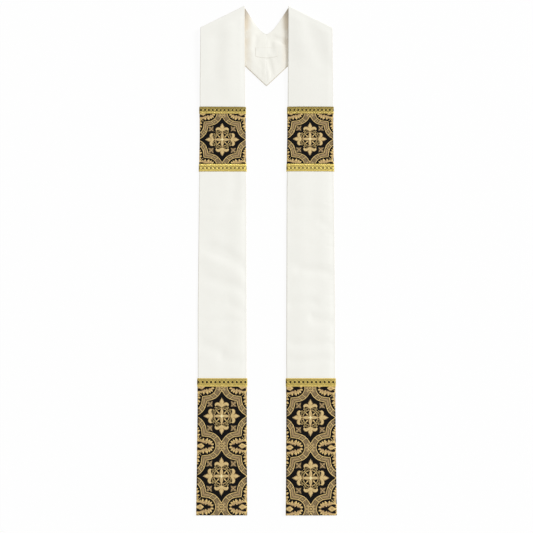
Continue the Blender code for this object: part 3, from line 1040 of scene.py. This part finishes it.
def brocadeFigure(name, side, place, low, high):
    slip, first, wider, longer = figure["laid"][place, side]
    repeat = figure["repeat"] * longer
    crosses = [first + k * repeat for k in range(-2, 3)]
    shifts = [y for y in crosses if low / mm - repeat / 2 < y < high / mm + repeat / 2]
    toHem = low == lie["hemY"]
    bottom = low / mm + (-brocade["pastHem"] if toHem else brocade["underBraid"])
    top, aside = high / mm - brocade["underBraid"], brocade["cutAcross"]
    mesh = tile.mesh(name, shifts, (wider, longer, 1), slip)
    more = [(0, way * at) for way in (-1, 1) for at in brocade["moreAcross"]]
    if toHem:
        more += [(1, low / mm - past) for past in brocade["morePastHem"]]
    cutOff(mesh, [(0, aside, 1), (0, -aside, -1), (1, bottom, -1), (1, top, 1)], more)
    return layRelief(side, mesh, dress["brocade"], brocadeFinishes)


grounds, figures = {}, {}
for side in ("left", "right"):
    for place in ("upper", "lower"):
        low, high = brocade[place]["from"], brocade[place]["to"]
        grounds[place, side] = brocadeGround(f"brocade_cloth_{place}_{side}", side, low, high)
        figures[place, side] = brocadeFigure(f"brocade_figure_{place}_{side}", side, place, low, high)
print("brocade woven:", sum(len(o.data.polygons) for o in figures.values()), "faces in its figure")

# The braids, in mm: across the panel, and down from the edge that lies past the brocade's cut end
braid = {
    # along, the way over the brocade, how far in the rings lie, and where each side's rings start
    "places": {
        "upper_top": (0.3790, -1, 10.6, {"left": -0.2, "right": 4.4}),
        "upper_bottom": (0.1930, 1, 9.0, {"left": 4.8, "right": 6.7}),
        "lower_top": (-0.3542, -1, 9.8, {"left": 0.8, "right": 7.6}),
    },
    "width": 21.0,
    "thick": 0.6,
    "netCrest": 0.45,  # how bright its net is, from the valleys' 0 to the crests' 1
    "reach": 65.6,
    "pitch": 10.7,
    "bareSink": 1.3 * mm,
    "bareEnds": (0.6, 2.6),  # where it steps down
    "rows": (0, 0.25, 0.6, 1.1, 1.6, 2.1, 2.6, 4, 6, 8, 10, 12, 14, 16, 18, 20, 20.7),
    "columns": 108,
    "ribPitch": 1.35,
    # painted light: the same braid's threads are made lighter or darker at each place, whitest at
    # upper_bottom
    "tones": {"upper_top": 0.80, "upper_bottom": 1.20, "lower_top": 1.0},
    "eyeTones": {"upper_top": 1.1, "upper_bottom": 4.2, "lower_top": 1.0},
    "threads": [  # name, clear and dull colour, its painted light tones, and roughness, metallic and specular
        ("net", (0.215, 0.150, 0.034), (0.095, 0.066, 0.016), "tones", 0.5, 0.4, 0.15),
        ("cord", (0.960, 0.745, 0.215), (0.360, 0.260, 0.060), "tones", 0.42, 0.45, 0.2),
        ("eye", (0.060, 0.048, 0.018), (0.036, 0.029, 0.011), "eyeTones", 0.6, 0.2, 0.05),
    ],
}
net, bright, eye = range(3)


def braidFinishes(place):
    made = []
    for name, clear, dull, tones, *surface in braid["threads"]:
        # each place's copy of the threads, with its painted light
        colours = [tuple(c * braid[tones][place] for c in colour) for colour in (clear, dull)]
        made.append(threadFinish(f"braid {name} {place}", *colours, *surface))
    return made


def braidRelief(ringsAt, phase):
    relief, reach, pitch = Relief("once"), braid["reach"], braid["pitch"]
    base = braid["thick"] - 0.12
    x = np.linspace(-reach, reach, 181)

    def straight(down, width, low, high, kind, section="round"):
        relief.strip(np.stack([x, 0 * x + down], -1), [width], base + low, base + high, kind, section)

    for k in (0, 1):  # twisted cord along the outer edge
        turn = 2 * math.pi * (x + phase) / (pitch * 0.5) + math.pi * k
        path = np.stack([x, 1.5 + 0.75 * np.sin(turn)], -1)
        up = base + 0.36 + 0.22 * np.cos(turn)
        aside = np.array([0, 0.72])
        relief.band(path + aside, path - aside, base - 0.1, up, bright, "round")
    straight(3.7, 0.8, 0, 0.3, bright)
    straight(4.8, 0.6, 0, 0.2, eye, "plate")
    first = (-(reach + phase) / pitch) // 1
    for k in range(int(2 * reach / pitch) + 3):  # rings with dark eyes, and a dark gap beside each
        centre = ((first + k + 0.5) * pitch - phase, ringsAt)
        if abs(centre[0]) < reach + 4:
            relief.dome(centre, 3.5, base, base + 0.22, eye)
            relief.strip(arc(centre, 4.2, 0, 360, 20), [1.5], base, base + 0.56, bright)
        gap = centre[0] + pitch / 2
        if abs(gap) < reach + 2:
            slot = [(gap, ringsAt + w) for w in (-3.8, 0, 3.8)]
            relief.strip(slot, [1.0, 2.3, 1.0], base, base + 0.2, eye, "plate")
            for w in (-3.5, 3.5):
                relief.dome((gap, ringsAt + w), 1.2, base, base + 0.44, bright, sides=6)
    straight(15.0, 0.7, 0, 0.16, eye, "plate")
    straight(16.0, 1.1, 0, 0.4, bright)
    for at in np.arange(-reach, reach, braid["ribPitch"]):  # ribs of the plain strip
        relief.strip([(at, 16.5), (at + 0.25, 18.2), (at, 19.9)], [0.95], base, base + 0.3, bright)
    straight(20.3, 1.2, -0.4, 0.46, bright)
    return relief


def braidSink(w):  # it steps down from the brocade to the bare face cloth
    start, end = braid["bareEnds"]
    return braid["bareSink"] * (1 - smooth((w / mm - start) / (end - start)))


def layBraid(side, place, finishes):
    b, way = braid, dress["braid"]
    past, direction, ringsAt, phases = b["places"][place]
    w = np.array([*b["rows"], b["width"]]) * mm
    x = np.linspace(-b["reach"], b["reach"], b["columns"] + 1) * mm
    across, down = np.meshgrid(x, w, indexing="ij")
    edge = np.minimum(down, b["width"] * mm - down) / mm
    rounded = b["thick"] * (0.35 + 0.65 * np.sqrt(np.clip(edge / 0.5, 0, 1))) * mm
    along = past + direction * down
    sink = braidSink(down)
    top = dressed(side, way, across, along, rounded, sink)
    under = dressed(side, way, across, along, np.zeros_like(across), sink)
    mesh = ringMesh(f"braid_trim_{place}_{side}", ringed(top, under),
                    (ringed(across, across) / mm, past / mm + ringed(down, down) / mm, 0))
    storePoints(mesh, "crestAt", np.full(len(mesh.vertices), b["netCrest"]))
    trim = newPiece(mesh, [finishes[net]], [f"braid_{place}_{side}"])
    mesh = braidRelief(ringsAt, phases[side]).mesh(f"braid_cords_{place}_{side}", [0])
    end = b["reach"] - 0.1
    cutOff(mesh, [(0, end, 1), (0, -end, -1)])
    cords = layRelief(side, mesh, way, finishes, lambda y: past + direction * y, braidSink)
    return trim, cords


for place in braid["places"]:
    finishes = braidFinishes(place)
    for side in ("left", "right"):
        layBraid(side, place, finishes)
print("braids laid")

# The woven label, bare, which lies over the back seam of the lining
label = {
    "half": 30.9,
    "top": 557.0,
    "corner": 529.2,
    "middle": 524.6,
    "wave": (0.7, 19, 0.6),  # of its upper edge: height, mm for one radian, and where it starts
    "thick": 0.30,
    "gap": 0.06,
    "step": 1.0,
    "besideSeam": 0.4,  # the linings are felt no nearer to their seam
    "evenings": 14,
    "rim": (0.12, 2.6, 1.3),  # rise, how far in from the edge, and reach
    "clear": (0.868, 0.860, 0.798),
    "dull": (0.838, 0.822, 0.752),
}
# the brown line round its edges is painted shade along its rims
labelFinish = ivoryFinish("ivory label ribbon", label["clear"], label["dull"], roughness=0.5, pitch=0.3,
                          seam=0.22)


def layLabel():
    half, highest, lowest = label["half"], label["top"], label["middle"]
    wave, waveRun, waveStart = label["wave"]
    rise, inwards, reach = label["rim"]
    trees = [BVHTree.FromPolygons([v.co for v in linings[s].data.vertices],
                                  [tuple(p.vertices) for p in linings[s].data.polygons]) for s in linings]
    columns = np.linspace(-half, half, round(2 * half / label["step"]) + 1)
    rows = np.linspace(0, 1, round((highest - lowest) / label["step"]) + 1)
    x, share = np.meshgrid(columns, rows, indexing="ij")
    bottom = lowest + (label["corner"] - lowest) * (x / half) ** 2
    y = bottom + (highest + wave * np.sin(x / waveRun + waveStart) - bottom) * share
    z = np.zeros_like(x)
    for k in np.ndindex(*x.shape):
        aside = x[k] if abs(x[k]) > label["besideSeam"] else label["besideSeam"]
        start = Vector((aside * mm, y[k] * mm, 0.05))
        hits = [tree.ray_cast(start, Vector((0, 0, -1)))[0] for tree in trees]
        z[k] = max(hit.z for hit in hits if hit) / mm
    level = z.copy()
    for _ in range(label["evenings"]):  # a ribbon is stiffer than the lining, and bridges its seam
        spread = np.pad(level, 1, mode="edge")
        mean = (spread[:-2, 1:-1] + spread[2:, 1:-1] + spread[1:-1, :-2] + spread[1:-1, 2:]) / 4
        level = np.maximum(mean, z)
    edge = np.minimum.reduce([half - np.abs(x), y - bottom, highest - y + wave])
    swell = rise * np.exp(-((edge - inwards) / reach) ** 2) + rise * np.sin(x / 6.1 + y / 9.0)
    rounded = label["thick"] * (0.45 + 0.55 * np.sqrt(np.clip(edge / 0.6, 0, 1)))
    over = level + label["gap"] + rounded + np.maximum(swell, 0) * 0.5
    top, under = np.stack([x, y, over], -1) * mm, np.stack([x, y, level + label["gap"]], -1) * mm
    points = ringed(top, under)
    mesh = ringMesh("label_ribbon", points, np.moveaxis(points, -1, 0) / mm)
    storePoints(mesh, "edgeAt", ringed(edge, edge))
    return newPiece(mesh, [labelFinish], ["neck_label"])


labelRibbon = layLabel()
print("label laid")


def aim(thing, way):
    thing.rotation_mode = "QUATERNION"
    thing.rotation_quaternion = Vector(way).to_track_quat("-Z", "Y")


# Camera over the stole, a little towards the hems
sight = {"from": (0, -0.4444, 1.778), "at": (0, -0.0664, 0), "lens": 47.14, "sensor": 36}
camera = newObject("camera", bpy.data.cameras.new("camera"))
camera.data.lens = sight["lens"]
camera.data.sensor_width = sight["sensor"]
camera.location = sight["from"]
aim(camera, Vector(sight["at"]) - Vector(sight["from"]))
bpy.context.scene.camera = camera

# Studio: a white floor, one soft lamp from the right and a bright room
studio = {"floor": 0.08, "glow": 0.905, "floorSize": 30, "lamp": 2.46, "lampAngle": 17, "lampHeight": 25,
          "lampTurn": 25, "lampColour": (1.0, 1.03, 1.08), "room": 0.718, "roomColour": (1.0, 0.985, 0.96)}
floorMesh = bpy.data.meshes.new("studio_floor")
reach = studio["floorSize"] / 2
floorMesh.from_pydata([(x, y, -0.0001) for x, y in ((-reach, -reach), (reach, -reach), (reach, reach),
                                                    (-reach, reach))], [], [(0, 1, 2, 3)])
floor = newObject("studio_floor", floorMesh)
white = (1, 1, 1, 1)
paper = Finish("studio paper", {"Roughness": 0.9, "Specular IOR Level": 0.1, "Emission Color": white,
                                "Emission Strength": studio["glow"]})
grain = paper.add("ShaderNodeTexNoise", {}, {"Scale": 30.0}, "Fac")
paper.set("Base Color", paper.mixed(grain, [studio["floor"]] * 3, [studio["floor"] * 0.995] * 3))
floorMesh.materials.append(paper.material)

lamp = newObject("lamp", bpy.data.lights.new("lamp", "SUN"))
lamp.data.energy = studio["lamp"]
lamp.data.color = studio["lampColour"]
lamp.data.angle = math.radians(studio["lampAngle"])
high, turn = math.radians(studio["lampHeight"]), math.radians(studio["lampTurn"])
aim(lamp, (-math.cos(high) * math.cos(turn), -math.cos(high) * math.sin(turn), -math.sin(high)))
room = bpy.data.worlds.new("room")
room.use_nodes = True
room.node_tree.nodes["Background"].inputs["Color"].default_value = (*studio["roomColour"], 1)
room.node_tree.nodes["Background"].inputs["Strength"].default_value = studio["room"]
bpy.context.scene.world = room
bpy.context.scene.view_settings.view_transform = "Standard"
print("studio set")
